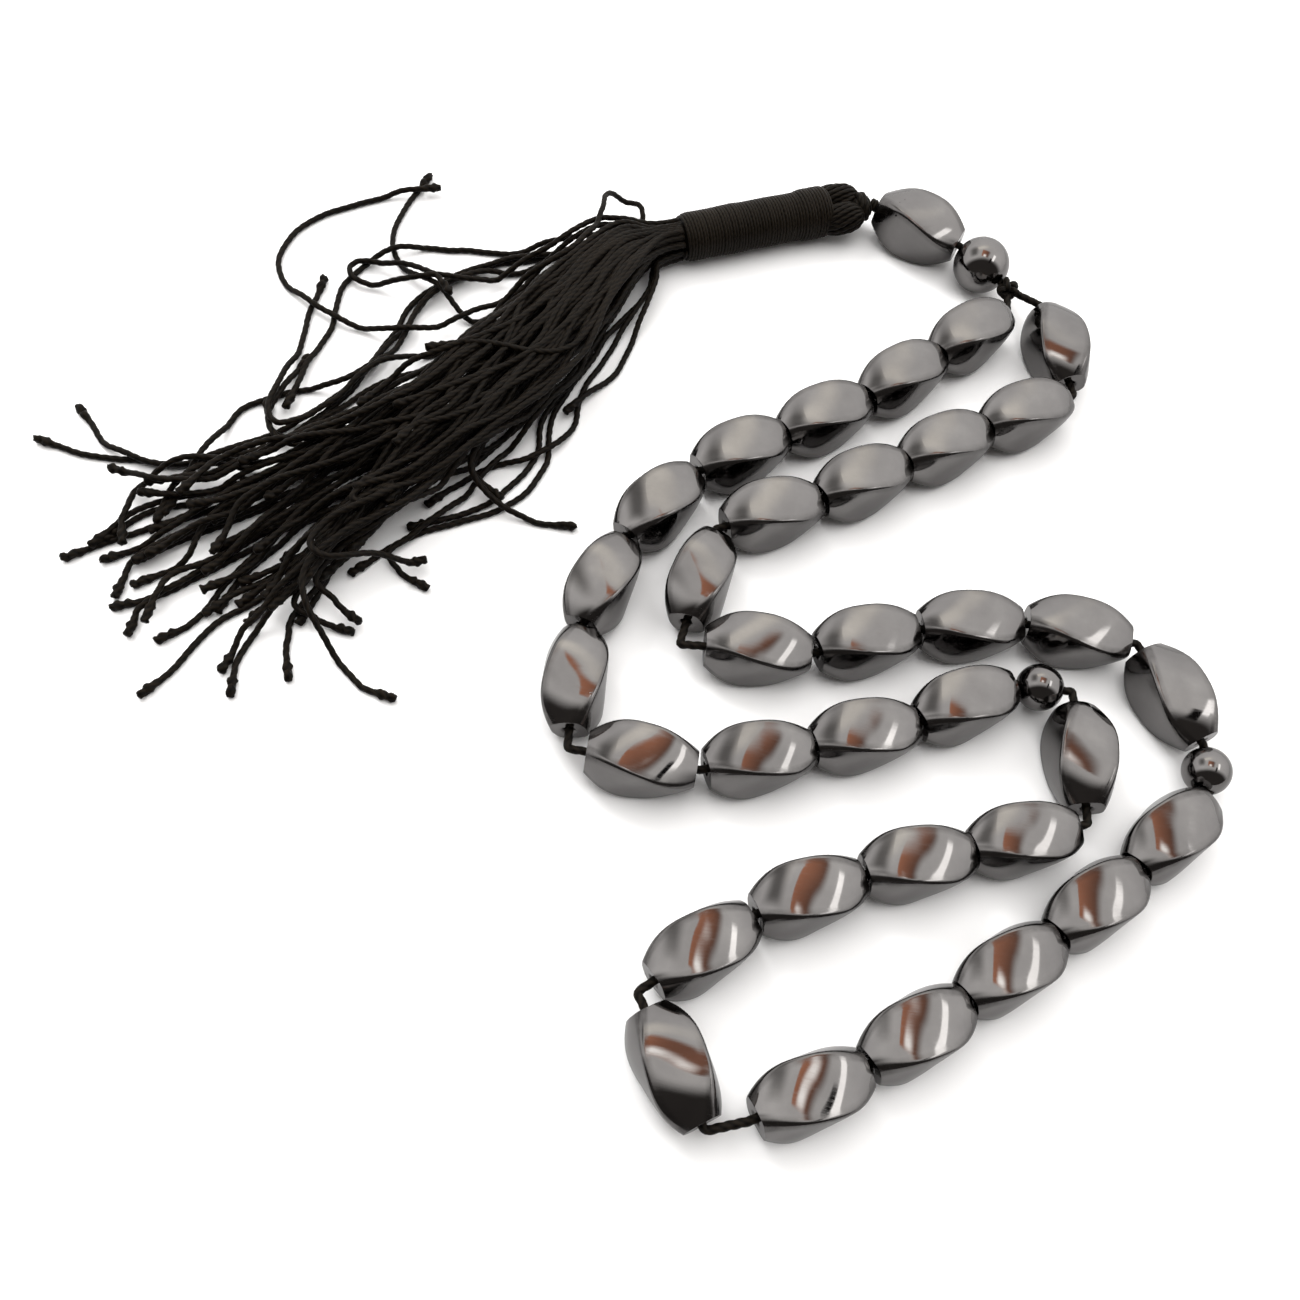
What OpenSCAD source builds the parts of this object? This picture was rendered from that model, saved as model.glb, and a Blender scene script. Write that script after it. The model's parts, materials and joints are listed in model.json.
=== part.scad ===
// Misbaha: 33 twisted stone beads on a cord in three groups of eleven, with two
// round dividers, a head ball, an imame bead and a cord tassel. It lies on a flat
// surface at z = 0. The origin is on that surface, under the main knot.
// Each bead turns on its cord, the head and tassel swing at the main knot, and
// the tassel lifts at its neck.

/* [Beads] */
// length of a counting bead
bead_l = 12; // [11.5:0.1:12.5]
// width across the flats at the middle of a counting bead
bead_w = 6.9; // [6.6:0.1:7.2]
// width across the flats at the end of a counting bead
bead_end_w = 4; // [3.6:0.1:4]
// turn of the square section from one end of a bead to the other
bead_twist = 40; // [30:5:50]
// radius of the hole through every bead
bore_r = 0.55; // [0.52:0.01:0.58]
// free play along the cord at each end of a bead
bead_gap = 0.12; // [0.1:0.01:0.2]

/* [Round beads] */
// radius of the two dividers
divider_r = 2.7; // [2.4:0.1:2.8]
// radius of the head ball
ball_r = 3.7; // [3.4:0.1:3.8]

/* [Imame bead] */
// length of the imame bead
imame_l = 12; // [11.6:0.1:12.4]
// width across the flats at the middle of the imame bead
imame_w = 7.2; // [6.8:0.1:7.4]

/* [Cord and knot] */
// radius of the cord through the beads
cord_r = 0.5; // [0.45:0.01:0.5]
// radius of the main knot
knot_r = 1.3; // [1.2:0.1:1.4]

/* [Tassel] */
// radius of the thread binding
whip_r = 3.3; // [3:0.1:3.4]
// length of the thread binding
whip_l = 21.3; // [20:0.1:22]
// length of the folded head between the neck and the binding
fold_l = 6.8; // [6.4:0.1:7.4]
// radius of one tassel strand
strand_r = 0.36; // [0.3:0.01:0.36]
// radius of the knot at the end of a strand
tip_r = 0.56; // [0.5:0.02:0.58]

/* [Output] */
// sub-part to draw, or all

/* [Hidden] */

stone = [0.36, 0.35, 0.34];
black = [0.07, 0.06, 0.06];
thread = [0.1, 0.1, 0.09];

rings = 10;           // steps along a bead
chamfer_mid = 0.8;    // corner point of a section, as a share of its half width,
chamfer_end = 0.4;    // at the middle and at the ends of a bead
end_gap = 0.6;        // bare cord past the last bead of each side
lead_1 = 4;           // bare cord from the main knot to the first bead
lead_2 = 5;           // bare cord from the main knot to the last bead

// Heading of each stretch of cord, in degrees, outwards from the main knot:
// the bare lead, eleven beads, a divider, then the beads of the middle group.
turn_1 = [-88, -133, -134, -142, -142, -122, -103, -85, 1, 23, 24, 33,
          3, -83, -157, -157, -150, -137, -54];
turn_2 = [-21, -72, -145, -143, -143, -151, -97, 7, 25, 15, 0, -57,
          -87, -130, -134, -138, -139, -147];
side_1 = [0, 1, 1, 1, 1, 1, 1, 1, 1, 1, 1, 1, 2, 1, 1, 1, 1, 1, 1];
side_2 = [0, 1, 1, 1, 1, 1, 1, 1, 1, 1, 1, 1, 2, 1, 1, 1, 1, 1];

// ---- twisted beads, along +X from x = 0 ----
function half_w(t, e, w) = (e + (w - e) * (1 - pow(abs(2 * t - 1), 2.6))) / 2;
function corner_at(t) = chamfer_mid + (chamfer_end - chamfer_mid) * pow(abs(2 * t - 1), 2.6);
function corners(c) = [[1, c], [c, 1], [-c, 1], [-1, c], [-1, -c], [-c, -1], [c, -1], [1, -c]];
function bead_points(l, e, w, tw, ph) = [for (i = [0:rings]) let (t = i / rings,
    h = half_w(t, e, w), a = ph + (t - 0.5) * tw) for (c = corners(corner_at(t)))
    [t * l, h * (c[0] * cos(a) - c[1] * sin(a)), h * (c[0] * sin(a) + c[1] * cos(a))]];
function lowest(p) = -min([for (q = p) q[2]]);
bead_z = lowest(bead_points(bead_l, bead_end_w, bead_w, bead_twist, 0));
imame_z = lowest(bead_points(imame_l, bead_end_w, imame_w, bead_twist, 0));
end_r = bead_end_w / 2 * sqrt(1 + chamfer_end * chamfer_end);

module skin(p, n, m) {
    // closed skin over m rings of n points
    polyhedron(points = p, faces = concat(
        [[for (k = [0:n - 1]) k]],
        [for (i = [0:m - 2], k = [0:n - 1]) let (a = i * n + k, b = i * n + (k + 1) % n) each
            [[a, a + n, b], [b, a + n, b + n]]],
        [[for (k = [n - 1:-1:0]) (m - 1) * n + k]]), convexity = 10);
}

module twisted(l, e, w, tw, ph) {
    difference() {
        skin(bead_points(l, e, w, tw, ph), 8, rings + 1);
        translate([-1, 0, 0]) rotate([0, 90, 0]) cylinder(h = l + 2, r = bore_r, $fn = 32);
    }
}

module round_bead(r) {
    rotate([0, 90, 0]) rotate_extrude($fn = 64) intersection() {
        circle(r = r, $fn = 64);
        translate([bore_r, -r]) square([2 * r, 2 * r]);
    }
}

// ---- layout of the cord ----
function wrap(a) = a - 360 * round(a / 360);
function bend(h, i) = i <= 0 || i >= len(h) ? 0 : abs(wrap(h[i] - h[i - 1]));
function half_gap(kind, b) = kind == 1 ? end_r * tan(b / 2) + bead_gap
    : kind == 2 ? divider_r * (1 / cos(b / 2) - 1) + bead_gap : 0;
function gap_in(h, s, i) = half_gap(s[i], bend(h, i));
function gap_out(h, s, i) = i == len(h) - 1 ? end_gap : half_gap(s[i], bend(h, i + 1));
function stretch(h, s, lead, i) = s[i] == 0 ? lead
    : gap_in(h, s, i) + (s[i] == 1 ? bead_l : 2 * divider_r) + gap_out(h, s, i);
function corner(h, s, lead, i) = i == 0 ? [0, 0]
    : corner(h, s, lead, i - 1) + stretch(h, s, lead, i - 1) * [cos(h[i - 1]), sin(h[i - 1])];

module on_side(side, i) {
    h = side == 1 ? turn_1 : turn_2;
    s = side == 1 ? side_1 : side_2;
    p = corner(h, s, side == 1 ? lead_1 : lead_2, i);
    translate([p[0], p[1], bead_z]) rotate([0, 0, h[i]]) translate([gap_in(h, s, i), 0, 0])
        children();
}

module counting_bead(side, i) {
    color(stone) on_side(side, i) twisted(bead_l, bead_end_w, bead_w, bead_twist, 0);
}

// ---- tube of 8 sides along points, with a ring in each corner's middle plane ----
function unit(v) = v / norm(v);
function flat(v) = [v[0], v[1], 0];
function side_of(v) = unit(cross([0, 0, 1], v));
function way(p, i) = i == 0 ? unit(p[1] - p[0]) : i == len(p) - 1 ? unit(p[i] - p[i - 1])
    : unit(unit(p[i] - p[i - 1]) + unit(p[i + 1] - p[i]));
function lean(p, i) = i == 0 || i == len(p) - 1 ? 1
    : 1 / max(0.5, way(p, i) * unit(p[i + 1] - p[i]));
function tube_points(p, r) = [for (i = [0:len(p) - 1]) let (v = way(p, i), s = side_of(v),
    u = cross(v, s), ri = is_list(r) ? r[i] : r) for (k = [0:7]) let (a = 45 * k + 22.5)
    p[i] + ri * (cos(a) * lean(p, i) * s + sin(a) * u)];
module tube(p, r) {
    skin(tube_points(p, r), 8, len(p));
}

lift = function (p) [p[0], p[1], bead_z];
ring_path = concat(
    [[1.1 * cos(turn_1[0]), 1.1 * sin(turn_1[0]), bead_z]],
    [for (i = [1:len(turn_1)]) lift(corner(turn_1, side_1, lead_1, i))],
    [for (i = [len(turn_2):-1:1]) lift(corner(turn_2, side_2, lead_2, i))],
    [[1.1 * cos(turn_2[0]), 1.1 * sin(turn_2[0]), bead_z]]);

module string_cord() {
    color(black) tube(ring_path, cord_r);
}

// turns of cord pulled into a ball, round the vertical hinge line
module main_knot() {
    color(black) translate([0, 0, bead_z]) rotate_extrude($fn = 48) intersection() {
        union() {
            circle(r = knot_r - 0.15, $fn = 48);
            for (k = [-1:1]) translate([knot_r - 0.55 - 0.25 * abs(k), 0.8 * k])
                circle(r = 0.5, $fn = 32);
        }
        translate([0, -5]) square([10, 10]);
    }
}

// ---- head ----
neck_turn = 138;      // heading from the main knot to the head ball
imame_turn = 159;     // heading through the imame bead
fold_turn = 198;      // heading of the folded head
whip_turn = 207;      // heading of the binding
neck_z = imame_z;
function dir(a) = [cos(a), sin(a), 0];
ball_at = knot_r + 0.06 + ball_r;
ball_out = ball_r * (1 / cos((imame_turn - neck_turn) / 2) - 1) + 0.12;
imame_in = end_r * tan((imame_turn - neck_turn) / 2) + 0.12;
neck_bend = [0, 0, neck_z] + (ball_at + ball_r + ball_out) * dir(neck_turn);
neck_end = neck_bend + (imame_in + imame_l + 0.8) * dir(imame_turn);

// the cord's far end swells into a small ball in the hinge of the tassel
module neck_cord() {
    color(black) tube(concat([[0, 0, neck_z] + (knot_r + 0.08) * dir(neck_turn), neck_bend],
        [for (d = [-0.5, -0.25, 0.1, 0.4, 0.5]) neck_end + d * dir(imame_turn)]),
        [cord_r, cord_r, cord_r, 0.58, 0.6, 0.45, 0.25]);
}

module head_ball() {
    color(stone) translate([0, 0, neck_z] + ball_at * dir(neck_turn)) rotate([0, 0, neck_turn])
        round_bead(ball_r);
}

module imame_bead() {
    color(stone) translate(neck_bend + imame_in * dir(imame_turn)) rotate([0, 0, imame_turn])
        twisted(imame_l, bead_end_w, imame_w, bead_twist, 0);
}

// ---- tassel ----
whip_z = whip_r + 0.05;
fold_end = [neck_end[0], neck_end[1], whip_z] + fold_l * dir(fold_turn);
skirt = fold_end + whip_l * dir(whip_turn);

// turns +Z of its children to run from p to q
module along(p, q) {
    d = q - p;
    translate(p) rotate([0, acos(d[2] / norm(d)), atan2(d[1], d[0])]) children();
}

// bobbin of length l and radius b, along +Z
module spindle(l, b) {
    rotate_extrude($fn = 64) polygon(concat([[0, 0]],
        [for (i = [0:12]) [b * sqrt(1 - 0.94 * pow(i / 6 - 1, 2)), i * l / 12]], [[0, l]]));
}

module tassel_collar() {
    color(black) along(neck_end, fold_end) rotate_extrude($fn = 48) {
        translate([0, 0.7]) square([1.3, 1.6]);
        for (k = [0:2]) translate([1.2, 0.98 + 0.55 * k]) circle(r = 0.28, $fn = 24);
    }
}

module hank_core() {
    color(black) along(neck_end, fold_end) translate([0, 0, 2.3])
        cylinder(h = fold_l - 1.9, r = 1.1, $fn = 48);
}

module hank_loops() {
    color(black) for (s = [-1, 1]) along(neck_end + 1.7 * unit(fold_end - neck_end)
        + s * 1.5 * side_of(dir(fold_turn)), fold_end + 0.5 * dir(fold_turn)
        + s * 2.1 * side_of(dir(fold_turn))) spindle(fold_l - 1, 1.9);
}

turns = 24;
module whipping() {
    color(thread) along(fold_end, skirt) rotate_extrude($fn = 72) union() {
        square([whip_r - 0.4, whip_l]);
        for (k = [0:turns - 1]) translate([whip_r - 0.5, (k + 0.5) * whip_l / turns])
            circle(r = 0.5, $fn = 24);
    }
}

// ---- strands: each row of them leaves the binding at its own height ----
rows = 8;
row_gap = 0.84;       // rows at the binding
row_far = 0.76;       // rows at the far ends
col_gap = 0.84;
// Both edges of the tassel on the table at five places along it, to the nearest millimetre.
edges = [[[-55, -1], [-50, -14]], [[-65, -13], [-55, -31]], [[-77, -29], [-66, -50]], [[-89, -42], [-78, -63]], [[-96, -50], [-92, -67]]];
// Each strand: how many of those places it runs through in its own share of the width, then the
// rest of its route, in millimetres, to the nearest half millimetre.
routes = [
    [[1, [[-61.5, -5.5], [-67.5, -8], [-72.5, -12], [-77, -17.5], [-79, -24], [-81.5, -33.5], [-87.5, -41], [-96, -47], [-105, -48], [-112.5, -48], [-113.5, -48]]],
     [3, [[-90, -50.5], [-100.5, -58], [-105, -61.5]]],
     [4, [[-95.5, -65.5], [-97.5, -67]]],
     [0, [[-47.5, -9], [-52, -18.5], [-56, -31], [-55, -38.5], [-59.5, -45.5], [-66, -50], [-71.5, -54], [-73.5, -56]]]],
    [[1, [[-62, -6], [-68, -9], [-73.5, -13], [-76.5, -18], [-77.5, -23.5], [-81.5, -32.5], [-89, -41], [-97, -47.5], [-106.5, -47], [-111, -43.5]]],
     [3, [[-90.5, -48.5], [-99.5, -54], [-103.5, -58.5]]],
     [3, [[-87.5, -52], [-95, -57.5], [-99.5, -61.5], [-100, -64]]],
     [4, [[-90, -66.5], [-92, -69]]],
     [3, [[-78.5, -62.5], [-79, -67.5], [-78.5, -70.5]]],
     [0, [[-47.5, -10], [-52, -19.5], [-56.5, -31.5], [-57, -38], [-61, -45], [-65.5, -49], [-67.5, -50]]]],
    [[1, [[-62, -7.5], [-68.5, -10.5], [-73.5, -14.5], [-76.5, -20], [-78, -27], [-82.5, -32.5], [-89, -34.5], [-93.5, -38], [-95, -44], [-96, -50], [-97, -53]]],
     [3, [[-90.5, -51.5], [-98, -58], [-101, -60.5]]],
     [4, [[-95.5, -66], [-96.5, -68.5]]],
     [3, [[-80.5, -59.5], [-87.5, -67.5], [-92, -75.5]]],
     [3, [[-79, -61.5], [-77, -65], [-74.5, -65.5]]],
     [0, [[-47, -9], [-50.5, -18.5], [-52.5, -25.5], [-53, -32.5], [-57.5, -38], [-62, -40], [-65.5, -44], [-66.5, -45.5]]]],
    [[1, [[-61, -11], [-65, -15.5], [-69, -18.5], [-74, -15], [-79.5, -12], [-82.5, -8], [-82, -2.5], [-80.5, 3]]],
     [2, [[-77.5, -28.5], [-83.5, -36], [-87.5, -40.5], [-90, -38.5], [-90, -34.5], [-89, -28], [-89.5, -18]]],
     [3, [[-89.5, -53], [-93, -60.5], [-96.5, -63]]],
     [3, [[-87.5, -58], [-94, -62.5], [-95, -65.5], [-95, -67]]],
     [3, [[-80.5, -63.5], [-84, -70.5], [-84, -73.5]]],
     [3, [[-77, -59.5], [-75, -62.5], [-73.5, -63.5]]],
     [0, [[-46.5, -8.5], [-47.5, -14], [-49, -22.5], [-52.5, -27], [-53.5, -28.5]]]],
    [[1, [[-61.5, -4], [-67, -6.5], [-73, -7], [-78, -7.5], [-83, -11], [-86.5, -16.5], [-86.5, -24.5], [-87.5, -32.5], [-88, -35]]],
     [3, [[-88.5, -46], [-97, -48], [-101.5, -52], [-102, -56.5], [-101.5, -58]]],
     [3, [[-88.5, -51.5], [-92, -54]]],
     [3, [[-80.5, -58], [-84.5, -63]]],
     [2, [[-63.5, -44], [-68, -50.5], [-71, -54.5], [-69, -56.5], [-67.5, -57]]]],
    [[1, [[-61, -8.5], [-66, -14], [-70, -19], [-74, -22], [-80, -23], [-87, -21.5], [-93.5, -18.5], [-95.5, -13.5], [-93.5, -6.5], [-86, -0.5], [-80, 1.5]]],
     [3, [[-89.5, -47], [-96.5, -51.5], [-103, -51.5]]],
     [3, [[-88.5, -53.5], [-95.5, -60]]],
     [3, [[-85.5, -59], [-88.5, -62.5]]],
     [3, [[-81, -64], [-84, -68], [-85, -71]]],
     [3, [[-70.5, -49]]],
     [2, [[-61.5, -37], [-64, -42.5], [-61.5, -45], [-55.5, -46.5], [-52.5, -46.5]]]],
    [[1, [[-61, -7.5], [-67, -11], [-74, -14], [-81.5, -16], [-85.5, -15.5], [-85.5, -13], [-80, -12.5], [-75, -14], [-73.5, -15]]],
     [3, [[-90, -46], [-94.5, -51.5]]],
     [3, [[-86, -51.5], [-89, -58]]],
     [3, [[-79.5, -56.5], [-82, -62]]],
     [2, [[-67, -47], [-75, -56], [-78, -62], [-75, -68], [-70.5, -71.5], [-68, -72]]]],
    [[0, [[-50.5, 5], [-53.5, 5], [-55, 3], [-55, -0.5], [-55.5, -4.5], [-58, -9], [-63.5, -14], [-67, -19]]],
     [2, [[-72.5, -31], [-77, -36]]],
     [2, [[-68, -36], [-71, -42]]],
     [2, [[-66.5, -45], [-72.5, -51.5], [-77, -55], [-78.5, -58.5], [-75.5, -60], [-71, -57], [-68, -55.5]]]]
];
function row_z(r, t) = (1 - t) * (whip_z + (r - (rows - 1) / 2) * row_gap)
    + t * (tip_r + 0.04 + r * row_far);
// smooth curve through points, n steps a span
function mid(p, i, u) = let (n = len(p) - 1, a = i > 0 ? p[i - 1] : 2 * p[0] - p[1], b = p[i],
    c = p[i + 1], d = i + 2 <= n ? p[i + 2] : 2 * p[n] - p[n - 1])
    0.5 * (2 * b + (c - a) * u + (2 * a - 5 * b + 4 * c - d) * u * u
    + (3 * b - a - 3 * c + d) * u * u * u);
function curve(p, n) = concat([for (i = [0:len(p) - 2], k = [0:n - 1]) mid(p, i, k / n)],
    [p[len(p) - 1]]);
// a whole row sways together, so its strands keep their places
function lane(r, c, k) = let (f = (c + 0.5 + 0.4 * sin(110 * r + 75 * k)) / len(routes[r]))
    (1 - f) * edges[k][0] + f * edges[k][1];
function route(r, c) = let (s = routes[r][c])
    concat([for (k = [0:1:s[0] - 1]) lane(r, c, k)], s[1]);
function strand_path(r, c) = let (m = len(routes[r]), far = route(r, c),
    s = side_of(dir(whip_turn)) * (c - (m - 1) / 2) * col_gap,
    root = [skirt[0] + s[0], skirt[1] + s[1]],
    out = root + 4 * unit(1.5 * [cos(whip_turn), sin(whip_turn)] + unit(far[0] - root)),
    q = curve(concat([root, out], far), 2), k = len(q) - 1,
    tip = q[k], w = unit(q[k] - q[k - 1]),
    all = concat(q, [for (d = [0.5, 1.2, 2, 2.5]) tip + d * w]))
    [for (p = all) [p[0], p[1], row_z(r, min(1, norm(p - [skirt[0], skirt[1]]) / 60))]];
function strand_size(n) = [for (i = [0:n - 1]) i == n - 1 ? 0.35 : i == n - 2 ? tip_r * 0.85
    : i == n - 3 ? tip_r : i == n - 4 ? tip_r * 0.9 : strand_r];

module strand_row(r) {
    color(black) for (c = [0:len(routes[r]) - 1]) {
        p = strand_path(r, c);
        tube(p, strand_size(len(p)));
    }
}

// ---- sub-parts ----
module bead_01() counting_bead(1, 1);
module bead_02() counting_bead(1, 2);
module bead_03() counting_bead(1, 3);
module bead_04() counting_bead(1, 4);
module bead_05() counting_bead(1, 5);
module bead_06() counting_bead(1, 6);
module bead_07() counting_bead(1, 7);
module bead_08() counting_bead(1, 8);
module bead_09() counting_bead(1, 9);
module bead_10() counting_bead(1, 10);
module bead_11() counting_bead(1, 11);
module bead_12() counting_bead(1, 13);
module bead_13() counting_bead(1, 14);
module bead_14() counting_bead(1, 15);
module bead_15() counting_bead(1, 16);
module bead_16() counting_bead(1, 17);
module bead_17() counting_bead(1, 18);
module bead_18() counting_bead(2, 17);
module bead_19() counting_bead(2, 16);
module bead_20() counting_bead(2, 15);
module bead_21() counting_bead(2, 14);
module bead_22() counting_bead(2, 13);
module bead_23() counting_bead(2, 11);
module bead_24() counting_bead(2, 10);
module bead_25() counting_bead(2, 9);
module bead_26() counting_bead(2, 8);
module bead_27() counting_bead(2, 7);
module bead_28() counting_bead(2, 6);
module bead_29() counting_bead(2, 5);
module bead_30() counting_bead(2, 4);
module bead_31() counting_bead(2, 3);
module bead_32() counting_bead(2, 2);
module bead_33() counting_bead(2, 1);
module divider_1() { color(stone) on_side(1, 12) translate([divider_r, 0, 0]) round_bead(divider_r); }
module divider_2() { color(stone) on_side(2, 12) translate([divider_r, 0, 0]) round_bead(divider_r); }
module strands_1() strand_row(0);
module strands_2() strand_row(1);
module strands_3() strand_row(2);
module strands_4() strand_row(3);
module strands_5() strand_row(4);
module strands_6() strand_row(5);
module strands_7() strand_row(6);
module strands_8() strand_row(7);

string_cord();
main_knot();
bead_01();
bead_02();
bead_03();
bead_04();
bead_05();
bead_06();
bead_07();
bead_08();
bead_09();
bead_10();
bead_11();
bead_12();
bead_13();
bead_14();
bead_15();
bead_16();
bead_17();
bead_18();
bead_19();
bead_20();
bead_21();
bead_22();
bead_23();
bead_24();
bead_25();
bead_26();
bead_27();
bead_28();
bead_29();
bead_30();
bead_31();
bead_32();
bead_33();
divider_1();
divider_2();
neck_cord();
head_ball();
imame_bead();
tassel_collar();
hank_core();
hank_loops();
whipping();
strands_1();
strands_2();
strands_3();
strands_4();
strands_5();
strands_6();
strands_7();
strands_8();
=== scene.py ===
import math

import bpy
import json
import numpy as np
from mathutils import Matrix, Vector


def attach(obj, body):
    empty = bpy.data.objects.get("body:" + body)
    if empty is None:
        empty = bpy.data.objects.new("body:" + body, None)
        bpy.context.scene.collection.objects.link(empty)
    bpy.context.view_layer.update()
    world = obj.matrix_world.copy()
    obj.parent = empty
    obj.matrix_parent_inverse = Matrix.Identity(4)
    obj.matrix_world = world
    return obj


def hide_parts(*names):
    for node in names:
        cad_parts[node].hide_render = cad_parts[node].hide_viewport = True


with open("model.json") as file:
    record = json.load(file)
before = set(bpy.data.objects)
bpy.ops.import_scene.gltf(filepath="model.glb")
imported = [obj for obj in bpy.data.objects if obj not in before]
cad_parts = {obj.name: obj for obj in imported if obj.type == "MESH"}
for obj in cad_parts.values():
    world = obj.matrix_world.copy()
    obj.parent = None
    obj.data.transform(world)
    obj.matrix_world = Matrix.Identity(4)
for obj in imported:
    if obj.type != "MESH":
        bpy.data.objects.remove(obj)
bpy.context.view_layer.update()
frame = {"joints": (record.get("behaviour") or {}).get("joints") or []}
MM = 0.001
scene = bpy.context.scene
JOINT = {j["name"]: j for j in frame["joints"]}

# ------------------------------------------------------------------ camera
# f is the focal length in pixels of the 1300 pixel frame, the rest is in degrees and mm
CAM = dict(f=1318.0, pitch=63.412, roll=10.068, yaw=0.0, pos=(-38.73, -129.16, 136.63), shift=(0.0, 0.0))


def make_camera():
    cam = bpy.data.cameras.new("Camera")
    cam.sensor_width = 36.0
    cam.lens = CAM["f"] / 1300 * 36
    cam.clip_start, cam.clip_end = 0.005, 10
    cam.shift_x, cam.shift_y = CAM["shift"]
    o = bpy.data.objects.new("Camera", cam)
    scene.collection.objects.link(o)
    p, r, w = (math.radians(CAM[k]) for k in ("pitch", "roll", "yaw"))
    turn = Matrix.Rotation(w, 3, "Z")
    fwd = turn @ Vector((0, math.cos(p), -math.sin(p)))
    up0 = turn @ Vector((0, math.sin(p), math.cos(p)))
    right0 = turn @ Vector((1, 0, 0))
    right = math.cos(r) * right0 + math.sin(r) * up0
    up = -math.sin(r) * right0 + math.cos(r) * up0
    m = Matrix((right, up, -fwd)).transposed().to_4x4()
    m.translation = Vector(CAM["pos"]) * MM
    o.matrix_world = m
    scene.camera = o


make_camera()


# ------------------------------------------------------------------ mesh helpers
def add_mesh(name, verts, quads, mat, extra=(), values=None, smooth=True):
    """An object from numpy arrays in millimetres: quads (n, 4) and extra, a list of other faces."""
    me = bpy.data.meshes.new(name)
    faces = [list(map(int, q)) for q in extra]
    quads = np.asarray(quads, dtype=np.int32).reshape(-1, 4)
    n_loops = quads.size + sum(len(f) for f in faces)
    me.vertices.add(len(verts))
    me.vertices.foreach_set("co", (np.asarray(verts, dtype=np.float64) * MM).ravel())
    me.loops.add(n_loops)
    me.loops.foreach_set("vertex_index", np.concatenate(
        [quads.ravel()] + [np.array(f, dtype=np.int32) for f in faces]).astype(np.int32))
    sizes = np.array([4] * len(quads) + [len(f) for f in faces], dtype=np.int32)
    me.polygons.add(len(sizes))
    me.polygons.foreach_set("loop_start", np.concatenate([[0], np.cumsum(sizes)[:-1]]).astype(np.int32))
    me.polygons.foreach_set("use_smooth", np.full(len(sizes), smooth))
    me.update(calc_edges=True)
    me.validate()
    for key, val in (values or {}).items():
        a = me.attributes.new(key, "FLOAT", "POINT")
        a.data.foreach_set("value", np.asarray(val, dtype=np.float32))
    me.materials.append(mat)
    o = bpy.data.objects.new(name, me)
    scene.collection.objects.link(o)
    return o


def grid_faces(n, m, base=0, close=True):
    """Quads of n rings of m points, each ring closed."""
    i = np.arange(n - 1)[:, None] * m
    k = np.arange(m if close else m - 1)[None, :]
    a = base + i + k
    b = base + i + (k + 1) % m
    return np.stack([a, b, b + m, a + m], axis=-1).reshape(-1, 4)


def unit(v):
    v = np.asarray(v, float)
    return v / np.maximum(np.linalg.norm(v, axis=-1, keepdims=True), 1e-12)


def frames_along(P, first=None):
    """Tangents and two side vectors that turn as little as possible along the points."""
    T = np.gradient(P, axis=0)
    T = unit(T)
    S = np.zeros_like(T)
    up = np.array([0, 0, 1.0]) if first is None else np.asarray(first, float)
    s = np.cross(up, T[0])
    if np.linalg.norm(s) < 1e-6:
        s = np.cross([1.0, 0, 0], T[0])
    S[0] = unit(s)
    for i in range(1, len(P)):
        s = S[i - 1] - np.dot(S[i - 1], T[i]) * T[i]
        S[i] = s / np.linalg.norm(s)
    return T, S, np.cross(T, S)


def arc_len(P):
    return np.concatenate([[0], np.cumsum(np.linalg.norm(np.diff(P, axis=0), axis=1))])


def resample(P, step):
    s = arc_len(P)
    n = max(2, int(round(s[-1] / step)) + 1)
    t = np.linspace(0, s[-1], n)
    return np.stack([np.interp(t, s, P[:, k]) for k in range(P.shape[1])], axis=1)


def smooth_rows(P, times=2):
    P = P.copy()
    for _ in range(times):
        P[1:-1] = 0.25 * P[:-2] + 0.5 * P[1:-1] + 0.25 * P[2:]
    return P


def catmull(P, n):
    P = np.asarray(P, float)
    Q = np.vstack([2 * P[0] - P[1], P, 2 * P[-1] - P[-2]])
    out = []
    for i in range(1, len(Q) - 2):
        a, b, c, d = Q[i - 1], Q[i], Q[i + 1], Q[i + 2]
        for k in range(n):
            u = k / n
            out.append(0.5 * (2 * b + (c - a) * u + (2 * a - 5 * b + 4 * c - d) * u ** 2
                              + (3 * b - a - 3 * c + d) * u ** 3))
    out.append(P[-1])
    return np.array(out)


def ply_tube(P, radius, plies=3, pitch=4.2, depth=0.22, sides=12, phase=0.0, scale=None, lumps=None):
    """Verts and quads of a twisted cord along P, with a groove between its plies."""
    T, S, U = frames_along(P)
    s = arc_len(P)
    n = len(P)
    a = np.linspace(0, 2 * np.pi, sides, endpoint=False)[None, :]
    th = a - (2 * np.pi * s / pitch)[:, None] + phase
    prof = 1 - depth + depth * np.abs(np.cos(plies * th / 2)) ** 0.8
    r = radius * prof
    if scale is not None:
        r = r * np.asarray(scale)[:, None]
    if lumps is not None:
        r = r * (1 + lumps(s[:, None], a))
    V = P[:, None, :] + r[..., None] * (np.cos(a)[..., None] * S[:, None, :] + np.sin(a)[..., None] * U[:, None, :])
    groove = 1 - np.abs(np.cos(plies * th / 2))
    return V.reshape(-1, 3), grid_faces(n, sides), [list(range(sides))[::-1], [(n - 1) * sides + k for k in range(sides)]], groove.ravel()


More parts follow.
